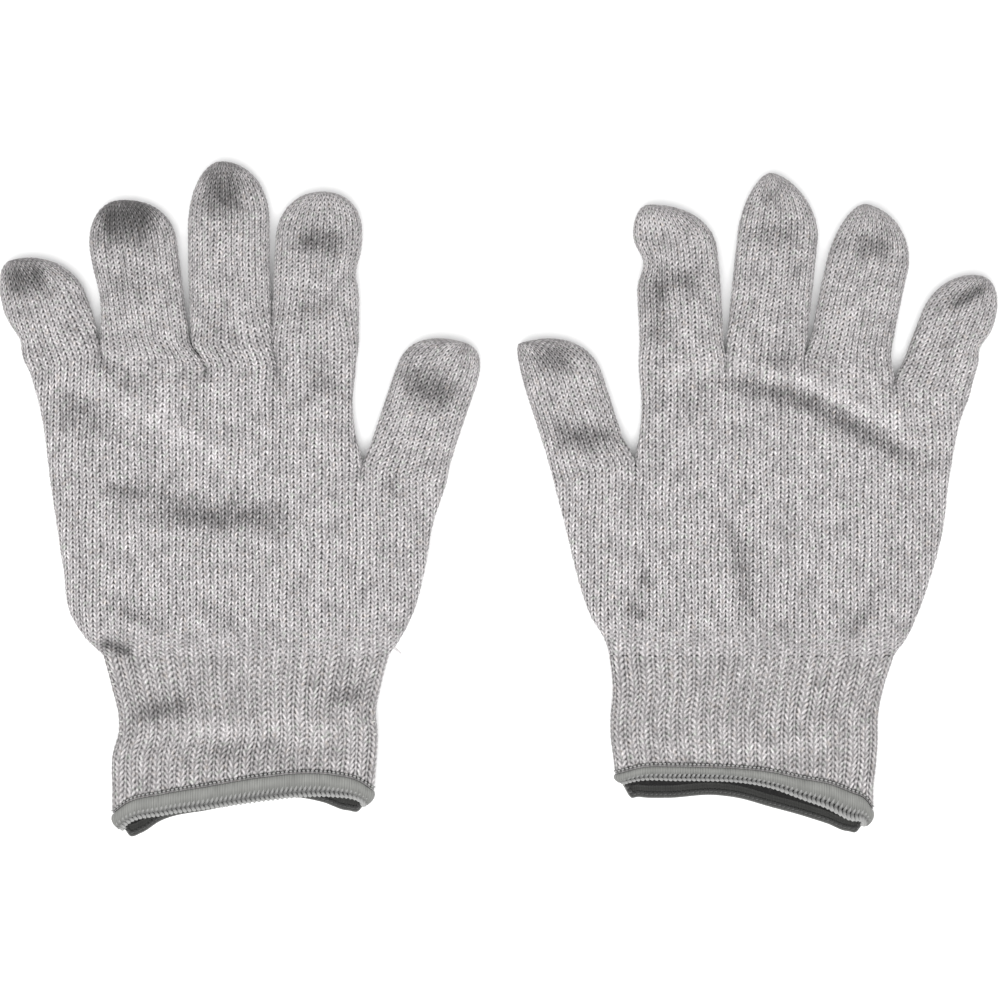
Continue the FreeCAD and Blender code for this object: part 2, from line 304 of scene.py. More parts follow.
RIGHT = {
    "side": "right",
    "seed": 5,
    "lower_edges": [(0, -48.6, 48.4), (4.6, -50, 52), (13, -54.9, 56.1),
                    (25.3, -59.2, 60.5), (41.7, -63.2, 64.9), (58.5, -67.5, 67)],
    "outer_point": (67.8, 64),
    "thumb_crotch": (-40, 66.7),
    "thumb_corner": (-67.5, 58.5),
    "left_edge": [(66.7, -40), (78.6, -37.9), (86.8, -37.6), (98, -38.7)],
    "right_edge": [(64, 67.8), (74, 69.6), (80, 71), (87.3, 73.8)],
    "crotches": [(-38.7, 98), (-8.9, 99.5), (17.8, 100.8), (48.5, 93), (73.8, 87.3)],
    "fingers": {
        "thumb": (26.4, 0.72, 2.2, 0.3, -0.8),
        "index_finger": (28.4, 0.56, 2.2, -3.2, -0.5),
        "middle_finger": (27.2, 0.76, 1.7, 0.4, -0.35),
        "ring_finger": (27.6, 0.75, 1.9, 3.8, -0.45),
        "little_finger": (24.2, 0.70, 2, 3.4, 0.15),
    },
    "nips": {
        "index_finger": (-1, 134, 3, 5.5),
        "little_finger": (1, 104.5, 1.5, 3.6),
    },
    "cuff_edges": [(0, -48.6, 48.4), (-12, -47.5, 44.6), (-22, -48.3, 42.9),
                   (-28, -48.2, 42.8), (-36, -47.2, 42.3), (-46, -46.2, 41.2)],
    "mouth_edges": (-46.2, 41.2),
    "front": [(-1, -40.5), (-0.8, -38), (-0.52, -37.6), (-0.28, -37.8), (-0.04, -38.3),
              (0.2, -39.5), (0.43, -41.7), (0.66, -43.7), (0.82, -46.4), (0.94, -49),
              (1, -52.5)],
    "back": [(-1, -41.5), (-0.94, -47.6), (-0.82, -48.9), (-0.6, -49.3), (-0.22, -48.4),
             (-0.04, -49.4), (0.2, -52.3), (0.43, -55), (0.66, -58.1), (0.82, -60.6),
             (0.92, -60), (1, -52.5)],
    "band": [(-1, 3), (0, 3.1), (0.4, 4.6), (0.7, 6.2), (0.85, 6.6), (1, 6)],
    "tuck": (0.9, 1.8),
    "loops": [(-1, 1.2), (-0.7, 2.3), (0.2, 2.2), (0.6, 3), (0.85, 3.2), (1, 0.8)],
    "folds": [
        ([(-34.9, 126.5), (-16, 128.2)], 5, 1.1),
        ([(-31.4, 104.2), (-33.2, 131)], 4, 1),
        ([(3.8, 157.2), (9.8, 157.2)], 3, 0.8),
        ([(-0.7, 142.5), (16.4, 143)], 4.5, 1),
        ([(12, 130.5), (18, 129)], 4, 0.7),
        ([(33.5, 139.5), (48.2, 139)], 5, 1.2),
        ([(67, 118.6), (80.7, 126.5)], 2.2, 1.8),
        ([(-75.9, 101.5), (-60.5, 101)], 5.5, 1.3),
        ([(-69, 74.5), (-46.8, 74)], 4.8, 1.5),
        ([(-2.4, 100.8), (14.7, 99.4)], 4, 1.1),
        ([(-17.8, 92.3), (-4.1, 92), (16.4, 87.2), (36.9, 76.9), (59.1, 63.2)], 3.8, 1.4),
        ([(-36, 95), (-4.1, 98.6), (23.2, 92), (60.8, 70.4)], 4, -0.95),
        ([(-34.9, 87.2), (-17.8, 85.5)], 5, 0.5),
        ([(-40, 27.3), (-33, 24)], 3, 0.9),
        ([(-45.1, 17.1), (-34.9, 12)], 3, 1.1),
        ([(-9.2, 46.1), (-4.1, 32.5), (-0.7, 10.3)], 3.2, 1),
        ([(30.1, 6.8), (43.7, 17.1)], 3, 0.9),
        ([(9, 12), (16, 8)], 4, 0.5),
        ([(-44, -30.8), (40, -31.5)], 3, -0.5),
    ],
}


# ---- curves and ovals

def ease(value):
    """0 to 1, with level ends."""
    value = np.clip(value, 0.0, 1.0)
    return value * value * (3 - 2 * value)


def mix(start, end, share):
    return start + (end - start) * share


def curve_through(places, values, wanted):
    """Smooth curve through values at rising places, read at the wanted places."""
    places = np.array(places, float)
    values = np.array(values, float)
    slopes = np.gradient(values, places)
    index = np.clip(np.searchsorted(places, wanted) - 1, 0, len(places) - 2)
    step = places[index + 1] - places[index]
    share = np.clip((wanted - places[index]) / step, 0.0, 1.0)
    square, cube = share ** 2, share ** 3
    return ((2 * cube - 3 * square + 1) * values[index] + (cube - 2 * square + share) * step
            * slopes[index] + (3 * square - 2 * cube) * values[index + 1]
            + (cube - square) * step * slopes[index + 1])


def half_oval(count, width, height, power):
    """Evenly spaced points over the top of an oval: place across, -1 to 1, and rise, 0 to 1."""
    angle = np.linspace(0, math.pi, OVAL_SAMPLES)
    across = -np.sign(np.cos(angle)) * np.abs(np.cos(angle)) ** (2 / power)
    rise = np.abs(np.sin(angle)) ** (2 / power)
    steps = np.hypot(np.diff(across) * width / 2, np.diff(rise) * height / 2)
    length = np.concatenate([[0.0], np.cumsum(steps)])
    wanted = np.linspace(0, length[-1], count + 1)
    return np.interp(wanted, length, across), np.interp(wanted, length, rise)


def run_along(path):
    """Distance from the start of a path to each of its points."""
    return np.concatenate([[0.0], np.cumsum(np.linalg.norm(np.diff(path, axis=0), axis=1))])


def oval_length(width, height):
    """Roughly, the length over the top of a flattened oval."""
    return width - height + math.pi * height / 2


def border(start, end, count, height, power):
    """Row over the top of an oval from one side point to the other: plan points and lift."""
    start, end = np.array(start, float), np.array(end, float)
    across, rise = half_oval(count, np.linalg.norm(end - start), height, power)
    plan = mix(start, end, (across[:, None] + 1) / 2)
    return plan, rise * height / 2


def join_borders(borders):
    """One row from neighbouring rows that meet at their ends."""
    plans = [plan if number == 0 else plan[1:] for number, (plan, _) in enumerate(borders)]
    lifts = [lift if number == 0 else lift[1:] for number, (_, lift) in enumerate(borders)]
    return np.concatenate(plans), np.concatenate(lifts)


# ---- tubes

# Over the top of a tube, by row and column: plan places, lift above and drop below the middle
# height, stitch coordinates, and how much of the stitches stands. The back is the same grid seen
# from below.
Tube = collections.namedtuple("Tube", "plan lift wale course fade")


def course_steps(plan, first, pitch):
    """Courses counted along each column from its first row."""
    steps = np.linalg.norm(np.diff(plan, axis=0), axis=2)
    run = np.concatenate([np.zeros((1, plan.shape[1])), np.cumsum(steps, axis=0)])
    return first[None, :] + run / pitch


def wales_from(plan, lift):
    """Wales counted outwards from the middle column of each row, and that from the glove's."""
    flat = np.linalg.norm(np.diff(plan, axis=1), axis=2)
    steps = np.hypot(flat, np.diff(lift, axis=1))
    run = np.concatenate([np.zeros((len(plan), 1)), np.cumsum(steps, axis=1)], axis=1)
    centre = (plan.shape[1] - 1) // 2
    return (plan[:, centre:centre + 1, 0] + run - run[:, centre:centre + 1]) / PALM_WALE


def sheet_tube(start, end, left_edge, right_edge, fade_columns, first):
    """Tube between two border rows whose sides follow two edge curves."""
    (start_plan, start_lift), (end_plan, end_lift) = start, end
    length = np.linalg.norm(end_plan - start_plan, axis=1).mean()
    rows = max(LEAST_ROWS, round(length / ROW_STEP))
    share = np.linspace(0, 1, rows + 1)[:, None, None]
    plan = mix(start_plan[None], end_plan[None], share)
    count = len(start_plan) - 1
    for edge, column in ((left_edge, 0), (right_edge, count)):
        edge = np.array(edge, float)
        heights = mix(start_plan[column, 1], end_plan[column, 1], share[:, 0, 0])
        wanted = curve_through(edge[:, 0], edge[:, 1], heights)
        off = wanted - plan[:, column, 0]
        weight = np.linspace(0, 1, count + 1)
        weight = weight if column else 1 - weight
        plan[:, :, 0] += off[:, None] * weight[None, :]
    away = (1 - share[:, :, 0]) * length
    pinch = 1 - ease(away / PINCH_REACH)
    lift = mix(start_lift[None], end_lift[None], pinch)
    wale = wales_from(plan, lift * 0 + start_lift[None])
    course = course_steps(plan, first, PALM_COURSE)
    fade = np.ones_like(lift)
    for column in fade_columns:
        gap = np.linalg.norm(plan - end_plan[column][None, None], axis=2)
        fade *= ease(gap / WEB_FADE)
    return Tube(plan, lift, wale, course, fade)


def finger_tube(root, ahead, length, shape, nip, first_row, wale_row, course_row, height):
    """Finger grown from its border row, through its own oval, to a rounded closed tip."""
    border_plan, border_lift = first_row
    width, rounding_share, squareness, bow, skew = shape
    across_way = np.array([ahead[1], -ahead[0]])
    rounding = rounding_share * width
    straight = length - rounding
    first_along = (border_plan - root) @ ahead
    count = len(border_plan) - 1
    across, rise = half_oval(count, width, height, FINGER_POWER)
    rows = round((straight - first_along.mean()) / ROW_STEP)
    share = np.linspace(0, 1, rows + 1)[:, None]
    along = mix(first_along[None], straight, share)
    half = np.full((rows + 1, 1), width / 2)
    thin = np.ones((rows + 1, 1))
    tip_rows = round(TIP_CROWD * rounding / ROW_STEP)
    turn = np.linspace(0, math.pi / 2, tip_rows + 1)[1:, None]
    narrow = np.maximum(np.cos(turn), 0.0) ** (2 / squareness)
    narrow[-1] = TIP_CLOSED
    along = np.concatenate([along, straight + rounding * np.sin(turn) ** (2 / squareness)
                            + 0 * across[None]])
    half = np.concatenate([half, narrow * width / 2])
    thin = np.concatenate([thin, narrow ** (1 - TIP_THINNING)])
    offset = bow * np.maximum(along, 0.0) ** 2 / length ** 2 + skew * (width / 2 - half)
    own = (root + along[..., None] * ahead
           + (offset + half * across[None])[..., None] * across_way)
    if nip:
        nip_side, nip_place, nip_depth, nip_reach = nip
        near = np.exp(-((own[..., 1] - nip_place) / nip_reach) ** 2)
        outer = np.clip(nip_side * across[None], 0, 1) ** 2
        own -= (nip_side * nip_depth * near * outer)[..., None] * across_way
    run = along - first_along[None]
    carried = border_plan[None] + run[..., None] * ahead
    settled = ease(run / FINGER_SETTLE)
    plan = mix(carried, own, settled[..., None])
    lift = mix(border_lift[None], rise[None] * height / 2 * thin, settled)
    own_wale = wale_row[count // 2] + (np.arange(count + 1) - count // 2) / WALE_COLUMNS
    wale = mix(wale_row[None], own_wale[None], ease(run / WALE_SETTLE))
    course = course_steps(plan, course_row, FINGER_COURSE)
    side_gap = np.minimum(np.arange(count + 1), np.arange(count + 1)[::-1]) * COLUMN_STEP
    fade = ease(np.hypot(side_gap[None], run) / WEB_FADE) * ease(thin / TIP_FADE)
    return Tube(plan, lift, wale, course, fade * np.ones_like(lift))


# ---- relief of the stitches

def leg_height(side, along, pitch, spread, close, radius):
    """Height of a stitch's two legs, at a distance from the wale's middle line."""
    centre = mix(spread, close, along / LEG_OVERLAP) * pitch
    across = np.abs(side - centre) / radius
    round_yarn = np.sqrt(np.maximum(0.0, 1 - across ** 2))
    swell = 0.5 + 0.5 * np.sin(math.pi * np.clip(along / LEG_OVERLAP, 0, 1))
    return round_yarn * swell


def fullness(wale, course):
    """How full each stitch's left and right leg is, from a table of random values."""
    leg, row = np.floor(2 * wale).astype(int), np.floor(course).astype(int)
    table = np.random.default_rng(FULL_SEED).uniform(LEAST_FULL, 1.0, FULL_TABLE)
    return table[leg % FULL_TABLE[0], row % FULL_TABLE[1]]


def stitches(wale, course, pitch, spread, close, radius):
    """Height from 0 to 1 over plain knitting: legs leaning together, each over the next."""
    side = np.abs(wale - np.floor(wale) - 0.5) * pitch
    along = course - np.floor(course)
    now = leg_height(side, along, pitch, spread, close, radius)
    before = leg_height(side, along + 1, pitch, spread, close, radius)
    return np.maximum(now * fullness(wale, course), before * fullness(wale, course - 1))


def plain_knit(wale, course):
    return stitches(wale, course, PALM_WALE, *PLAIN_LEGS)


def ribs(wale):
    """1 on the raised columns of the cuff, 0 in the drawn-in ones."""
    side = np.abs(wale - np.floor(wale) - 0.5) * 2
    return 1 - ease((side - RIB_SHARE) / (1 - RIB_SHARE) * RIB_STEEP)


def rib_knit(wale, course):
    legs = stitches(wale, course, RIB_WALE, *RIB_LEGS)
    bars = BAR_MEAN + BAR_SWELL * np.cos(2 * math.pi * course)
    return mix(bars, legs, ribs(wale))


def knit_over(points, wale, course, fade):
    """Base points with stitches raised on them, and their relief. Plain knitting turns into ribs
    of twice the width near the wrist. A glove is knitted from its fingertips to its cuff, so
    stitches are counted against the course."""
    x, y = points[..., 0], points[..., 1]
    strength = RIB_STRENGTH + (1 - RIB_STRENGTH) * waves(x, y, *RIB_WAVES)
    rib = ease((RIB_START - y) / RIB_SETTLE) * strength
    wale = wale + WALE_DRIFT * waves(x, y, *WALE_WAVES)
    course = COURSE_DRIFT * waves(x, y, *COURSE_WAVES) - course
    rib_place = wale / 2 + RIB_SHIFT
    height = mix(plain_knit(wale, course), rib_knit(rib_place, course), rib)
    drawn = (ribs(rib_place) - 1) * RIB_DEPTH * rib
    amount = (drawn + (height - 0.5) * STITCH_HEIGHT) * fade
    return points + grid_normals(points) * amount[..., None], mix(FLAT_RELIEF, height, fade)


def waves(x, y, seed, wavelengths):
    """Unevenness of loose knitting, -1 to 1: waves of several lengths in random directions."""
    rng = np.random.default_rng(seed)
    total = 0.0
    for wavelength in wavelengths:
        angle, phase = rng.uniform(0, 2 * math.pi, 2)
        total = total + np.sin(2 * math.pi * (x * math.cos(angle) + y * math.sin(angle))
                               / wavelength + phase)
    return total / len(wavelengths)


def undulation(x, y, seed):
    """Height of the knitting's gentle unevenness."""
    return WAVE * waves(x, y, seed, UNEVEN_LENGTHS)


def fold_amount(x, y, points, reach):
    """1 along a bent line, less beside it and towards its ends."""
    points = np.array(points)
    runs = np.diff(points, axis=0)
    lengths = np.hypot(runs[:, 0], runs[:, 1])
    nearest = np.full(x.shape, np.inf)
    place = np.zeros_like(x)
    passed = 0.0
    for start, run, length in zip(points, runs, lengths):
        from_x, from_y = x - start[0], y - start[1]
        share = np.clip((from_x * run[0] + from_y * run[1]) / length ** 2, 0, 1)
        off_x, off_y = from_x - share * run[0], from_y - share * run[1]
        right = run[0] * off_y - run[1] * off_x < 0
        gap = np.hypot(off_x, off_y) / np.where(right, FOLD_STEEP * reach, reach)
        nearer = gap < nearest
        nearest = np.where(nearer, gap, nearest)
        place = np.where(nearer, (passed + share * length) / lengths.sum(), place)
        passed += length
    beyond = np.abs(2 * place - 1) - FOLD_FULL
    return np.exp(-nearest ** 2) * ease(1 - FOLD_TAPER * beyond)


def fold_depths(x, y, folds):
    """Depth of the creases, less the height of the ridges, and their painted shade, which on the
    ridges is a painted highlight.
    """
    depth = np.zeros_like(x)
    for points, reach, deep in folds:
        depth += deep * fold_amount(x, y, points, reach)
    return depth, np.clip(depth * FOLD_SHADE, *SHADE_RANGE)


# ---- meshes

def ring_grid(top, bottom):
    """Closed ring of columns from a tube's top half and its back half, which share their sides."""
    return np.concatenate([top, bottom[:, -2:0:-1]], axis=1)


def grid_normals(points):
    """Outward normals of a closed ring grid."""
    around = np.roll(points, -1, axis=1) - np.roll(points, 1, axis=1)
    along = np.gradient(points, axis=0)
    normal = np.cross(around, along)
    size = np.linalg.norm(normal, axis=2, keepdims=True)
    return normal / np.maximum(size, 1e-9)


def tube_points(tube, middle, glove):
    """Base points of a tube as a closed ring grid, with the knitting's folds on its top, and the
    painted shade of those folds.
    """
    x, y = tube.plan[..., 0], tube.plan[..., 1]
    depth, shade = fold_depths(x, y, glove["folds"])
    full = np.clip(tube.lift / middle, 0, 1)
    uneven = undulation(x, y, glove["seed"])
    top_z = middle + tube.lift + (uneven - depth) * full
    top = np.dstack([x, y, top_z])
    back = np.dstack([x, y, middle - tube.lift])[:, ::BACK_STEP]
    shades = ring_grid(shade, shade[:, ::BACK_STEP] * 0)
    return ring_grid(top, back), shades


def both_sides(values):
    return ring_grid(values, values[:, ::BACK_STEP])


def grid_faces(rows, columns, first):
    """Quads of a grid, closed round its columns."""
    row = np.arange(rows - 1)[:, None]
    column = np.arange(columns)[None, :]
    after = (column + 1) % columns
    corners = [row * columns + column, row * columns + after,
               (row + 1) * columns + after, (row + 1) * columns + column]
    return np.stack(corners, axis=-1).reshape(-1, 4) + first


def build_mesh(name, points, faces, fields):
    """Mesh object from arrays, with the points that meet joined. Points are millimetres in the
    frame, fields are per point."""
    mesh = bpy.data.meshes.new(name)
    mesh.vertices.add(len(points))
    mesh.vertices.foreach_set("co", (points * MM).astype(np.float32).ravel())
    mesh.loops.add(faces.size)
    mesh.loops.foreach_set("vertex_index", faces.astype(np.int32).ravel())
    mesh.polygons.add(len(faces))
    mesh.polygons.foreach_set("loop_start", np.arange(0, faces.size, 4, dtype=np.int32))
    mesh.polygons.foreach_set("use_smooth", np.ones(len(faces), bool))
    layer = mesh.uv_layers.new(name="knit")
    knit = np.stack([fields["wale"], fields["course"]], axis=-1)
    layer.data.foreach_set("uv", knit[faces.ravel()].astype(np.float32).ravel())
    for field in ("relief", "shade"):
        attribute = mesh.attributes.new(field, "FLOAT", "POINT")
        attribute.data.foreach_set("value", fields[field].astype(np.float32))
    mesh.update(calc_edges=True)
    mesh.validate()
    work = bmesh.new()
    work.from_mesh(mesh)
    bmesh.ops.remove_doubles(work, verts=work.verts, dist=1e-6)
    work.to_mesh(mesh)
    work.free()
    piece = bpy.data.objects.new(name, mesh)
    bpy.context.scene.collection.objects.link(piece)
    return piece


def grids_to_piece(name, grids, offset):
    """One piece from several grids of points, wale, course, relief and shade. A grid with flip
    faces inwards."""
    points, faces = [], []
    fields = {"wale": [], "course": [], "relief": [], "shade": []}
    first = 0
    for grid in grids:
        rows, columns = grid["points"].shape[:2]
        quads = grid_faces(rows, columns, first)
        faces.append(quads[:, ::-1] if grid.get("flip") else quads)
        points.append(grid["points"].reshape(-1, 3) + offset)
        for field in fields:
            fields[field].append(grid[field].ravel())
        first += rows * columns
    fields = {field: np.concatenate(parts) for field, parts in fields.items()}
    return build_mesh(name, np.concatenate(points), np.concatenate(faces), fields)


def yarns(paths, radius, sides=YARN_SIDES, taper=True):
    """Grids of round yarn along the paths, tapered at their ends or, for rounds, all one size."""
    grids = []
    angle = np.linspace(0, 2 * math.pi, sides, endpoint=False)
    for path in paths:
        way = np.gradient(path, axis=0)
        way /= np.maximum(np.linalg.norm(way, axis=1, keepdims=True), 1e-9)
        side = np.cross(way, [0.0, 0.0, 1.0])
        side[np.linalg.norm(side, axis=1) < 1e-6] = [1.0, 0.0, 0.0]
        side /= np.linalg.norm(side, axis=1, keepdims=True)
        up = np.cross(side, way)
        share = np.linspace(-1, 1, len(path))
        size = np.ones(len(path))
        if taper:
            size = np.sqrt(np.maximum(1 - np.abs(share) ** YARN_END, YARN_TIP ** 2))
        spoke = (np.cos(angle)[None, :, None] * side[:, None]
                 + np.sin(angle)[None, :, None] * up[:, None])
        points = path[:, None] + spoke * radius * size[:, None, None]
        run = run_along(path)
        ones = np.ones(points.shape[:2])
        grids.append({
            "points": points, "wale": ones * angle[None] * radius, "course": ones * run[:, None],
            "relief": ones * YARN_RELIEF, "shade": ones * 0.0,
        })
    return grids


# ---- one glove

class Glove:
    """Builds one glove's pieces from its shape and the frame's joints."""

    def __init__(self, shape):
        self.shape = shape
        self.side = shape["side"]
        wrist = JOINTS[self.side + "_cuff_fold"]["pos_m"]
        self.offset = np.array([wrist[0] / MM, wrist[1] / MM, 0.0])
        low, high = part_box(self.side + "_palm")
        self.height = (high.z - low.z) / MM - 2 * SKIN
        self.middle = self.height / 2 + SKIN
        self.mouth_height = self.height + MOUTH_GAPE
        self.pieces = {}
        self.names = [name for name in shape["fingers"] if name != "thumb"]
        self.counts = {name: self.column_count(values[0])
                       for name, values in shape["fingers"].items()}

    def column_count(self, width):
        """A multiple of 4, so that the middle column and the back's columns come out even."""
        return 4 * round(oval_length(width, self.height) / COLUMN_STEP / 4)

    def finger_frame(self, name):
        """Root, direction and length of a finger, from its joint and its CAD node."""
        joint = JOINTS[self.side + "_" + name + "_flex"]
        root = np.array(joint["pos_m"][:2]) / MM - self.offset[:2]
        ahead = np.array([-joint["axis"][1], joint["axis"][0]])
        mesh = frame["nodes"][self.side + "_" + name].data
        places = np.zeros(len(mesh.vertices) * 3, np.float32)
        mesh.vertices.foreach_get("co", places)
        places = places.reshape(-1, 3)[:, :2] / MM - self.offset[:2]
        return root, ahead, float(((places - root) @ ahead).max())

    def palm_tubes(self):
        """Lower and upper palm, with the rows that the thumb and the fingers start from."""
        shape, counts = self.shape, self.counts
        points = shape["crotches"]
        roots = [border(points[number], points[number + 1], counts[name], self.height,
                        FINGER_POWER) for number, name in enumerate(self.names)]
        upper_count = sum(counts[name] for name in self.names)
        thumb_on_right = self.side == "left"
        order = slice(None, None, 1 if thumb_on_right else -1)
        upper_ends = (shape["outer_point"], shape["thumb_crotch"])[order]
        thumb_ends = (shape["thumb_crotch"], shape["thumb_corner"])[order]
        upper_start = border(*upper_ends, upper_count, self.height, PALM_POWER)
        thumb_start = border(*thumb_ends, counts["thumb"], self.height, FINGER_POWER)
        lower_end = join_borders([upper_start, thumb_start][order])
        split = upper_count if thumb_on_right else counts["thumb"]
        self.upper_columns, self.thumb_columns = [slice(0, split + 1), slice(split, None)][order]
        edges = shape["lower_edges"]
        wrist = border((edges[0][1], 0.0), (edges[0][2], 0.0), upper_count + counts["thumb"],
                       self.height, WRIST_POWER)
        left_edge = [(y, left) for y, left, _ in edges]
        right_edge = [(y, right) for y, _, right in edges]
        outer_edge = left_edge if thumb_on_right else right_edge
        outer_edge.append(shape["outer_point"][::-1])
        lower = sheet_tube(wrist, lower_end, left_edge, right_edge, [split],
                           np.zeros(len(wrist[0])))
        crotch_columns = np.cumsum([counts[name] for name in self.names])[:-1]
        upper = sheet_tube(upper_start, join_borders(roots), shape["left_edge"],
                           shape["right_edge"], crotch_columns,
                           lower.course[-1, self.upper_columns])
        self.roots = dict(zip(self.names, roots))
        self.roots["thumb"] = thumb_start
        return lower, upper

    def knitted(self, tube):
        """Final points of a plain-knit tube and its colour fields."""
        base, shade = tube_points(tube, self.middle, self.shape)
        wale, course, fade = both_sides(tube.wale), both_sides(tube.course), both_sides(tube.fade)
        points, relief = knit_over(base, wale, course, fade)
        return {"points": points, "wale": wale, "course": course, "relief": relief,
                "shade": shade}

    def ring_slice(self, grid, columns, total):
        """Columns of a parent's last row that make a child's closed first row."""
        start = columns.start or 0
        stop = total if columns.stop is None else columns.stop - 1
        ring = grid["points"].shape[1]
        top = list(range(start, stop + 1))
        back = [(total + (total - column) // BACK_STEP) % ring
                for column in range(stop - BACK_STEP, start, -BACK_STEP)]
        return top + back

    def build_hand(self):
        lower, upper = self.palm_tubes()
        lower_grid, upper_grid = self.knitted(lower), self.knitted(upper)
        lower_total = lower.plan.shape[1] - 1
        chosen = self.ring_slice(lower_grid, self.upper_columns, lower_total)
        upper_grid["points"][0] = lower_grid["points"][-1, chosen]
        self.grids = {"lower": lower_grid, "upper": upper_grid}
        piece = grids_to_piece(self.side + "_hand_knit", [lower_grid, upper_grid], self.offset)
        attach(piece, self.side + "_hand")
        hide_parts(self.side + "_palm")
        self.pieces["hand"] = piece
        self.tubes = {"lower": lower, "upper": upper}
        first = 0
        for name in self.names:
            columns = slice(first, first + self.counts[name] + 1)
            self.build_finger(name, "upper", columns)
            first += self.counts[name]
        self.build_finger("thumb", "lower", self.thumb_columns)

    def build_finger(self, name, parent, columns):
        tube = self.tubes[parent]
        grid = self.grids[parent]
        root, ahead, length = self.finger_frame(name)
        finger = finger_tube(root, ahead, length, self.shape["fingers"][name],
                             self.shape["nips"].get(name), self.roots[name],
                             tube.wale[-1, columns], tube.course[-1, columns], self.height)
        made = self.knitted(finger)
        total = tube.plan.shape[1] - 1
        chosen = self.ring_slice(grid, columns, total)
        made["points"][0] = grid["points"][-1, chosen]
        piece = grids_to_piece(self.side + "_" + name + "_knit", [made], self.offset)
        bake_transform(piece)
        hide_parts(self.side + "_" + name)
        self.pieces[name] = piece

    def hem_line(self, share, front):
        """Distance from the wrist of the line where the hem starts, at places across, and the
        band's width there. Front and back meet at the sides."""
        shape = self.shape
        ahead = curve_through(*zip(*shape["front"]), share)
        if front:
            return ahead, curve_through(*zip(*shape["band"]), share)
        sides = np.where(share < 0, shape["front"][0][1], shape["front"][-1][1])
        behind = curve_through(*zip(*shape["back"]), share) + BACK_BAND
        meet = ease((1 - np.abs(share)) / HEM_CORNER)
        side_band = np.where(share < 0, shape["band"][0][1], shape["band"][-1][1])
        return mix(sides, behind, meet), mix(side_band, BACK_BAND, meet)

    def cuff_half(self, across, rise, front):
        """Points, by row and column, of the cuff's front or back half."""
        shape = self.shape
        line, _ = self.hem_line(across, front)
        rows = round(-line.mean() / ROW_STEP) + 1
        y = np.linspace(0, 1, rows)[:, None] * line[None]
        edges = np.array(shape["cuff_edges"])[::-1]
        left = curve_through(edges[:, 0], edges[:, 1], y)
        right = curve_through(edges[:, 0], edges[:, 2], y)
        x = mix(left, right, (across[None] + 1) / 2)
        swell = ease(-y / MOUTH_LENGTH - MOUTH_START)
        lift = rise[None] * mix(self.height, self.mouth_height, swell) / 2
        middle = mix(self.middle, self.mouth_height / 2 + SKIN, swell)
        return x, y, middle + (lift if front else -lift)

    def build_cuff(self):
        lower = self.grids["lower"]
        total = self.tubes["lower"].plan.shape[1] - 1
        edges = self.shape["lower_edges"][0]
        across, rise = half_oval(total, edges[2] - edges[1], self.height, WRIST_POWER)
        front = self.cuff_half(across, rise, True)
        back = self.cuff_half(across[::BACK_STEP], rise[::BACK_STEP], False)
        rows = len(front[0])
        step = np.linspace(0, len(back[0]) - 1, rows)
        back = [np.stack([np.interp(step, np.arange(len(part)), part[:, column])
                          for column in range(part.shape[1])], axis=1) for part in back]
        points = ring_grid(np.dstack(front), np.dstack(back))[::-1]
        wale = both_sides(np.repeat(self.tubes["lower"].wale[:1], rows, axis=0))
        course = points[..., 1] / RIB_COURSE
        hollow, shade = fold_depths(points[..., 0], points[..., 1], self.shape["folds"])
        on_front = np.clip((points[..., 2] - self.middle) / self.middle, 0, 1)
        holes = self.needle_holes(points)
        above_hem = (np.arange(rows) - 1)[:, None] * ROW_STEP
        uneven = undulation(points[..., 0], points[..., 1], self.shape["seed"])
        base = points.copy()
        base[..., 2] += (uneven - hollow) * on_front * ease(above_hem / FOLD_FADE)
        base -= grid_normals(points) * holes[..., None] * HOLE_DEPTH
        knitted, relief = knit_over(base, wale, course, ease(above_hem / HEM_FADE))
        knitted[-1] = lower["points"][0]
        # Painted shade: the folds' on the cuff's front, and the needle holes'.
        outer = {"points": knitted, "wale": wale, "course": course, "relief": relief,
                 "shade": shade * on_front * (1 - holes) + HOLE_SHADE * holes}
        below_wrist = np.arange(rows)[::-1, None, None] * ROW_STEP
        depth = CUFF_LAYER * ease(below_wrist / INSIDE_SETTLE)
        # The cuff's inner face gets full painted shade, since it lies in the shadow inside the
        # mouth.
        inner = {"points": base - grid_normals(points) * depth, "wale": wale, "course": course,
                 "relief": relief, "shade": np.ones_like(wale)}
        inner = {field: values[::INSIDE_ROWS, ::INSIDE_COLUMNS] for field, values in inner.items()}
        inner["flip"] = True
        name = self.side + "_cuff_rib_knit"
        piece = grids_to_piece(name, [outer, inner], self.offset)
        self.bend_cuff(piece)
        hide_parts(self.side + "_cuff")
        self.pieces["cuff"] = piece
        self.mouth_ring = points[0]
        self.cuff_points = base

    def needle_holes(self, points):
        """1 in the holes between the chain stitches, in the rows next to the hem."""
        ring = points[0]
        step = np.linalg.norm(np.roll(ring, -1, axis=0) - ring, axis=1)
        length = step.sum()
        place = (np.cumsum(step) - step) / length * round(length / CHAIN_PITCH)
        aside = (place - np.floor(place) - 0.5) * CHAIN_PITCH
        above = points[..., 1] - ring[None, :, 1] - CHAIN_RISE
        return np.exp(-(aside[None] ** 2 + above ** 2) / NEEDLE_HOLE ** 2)

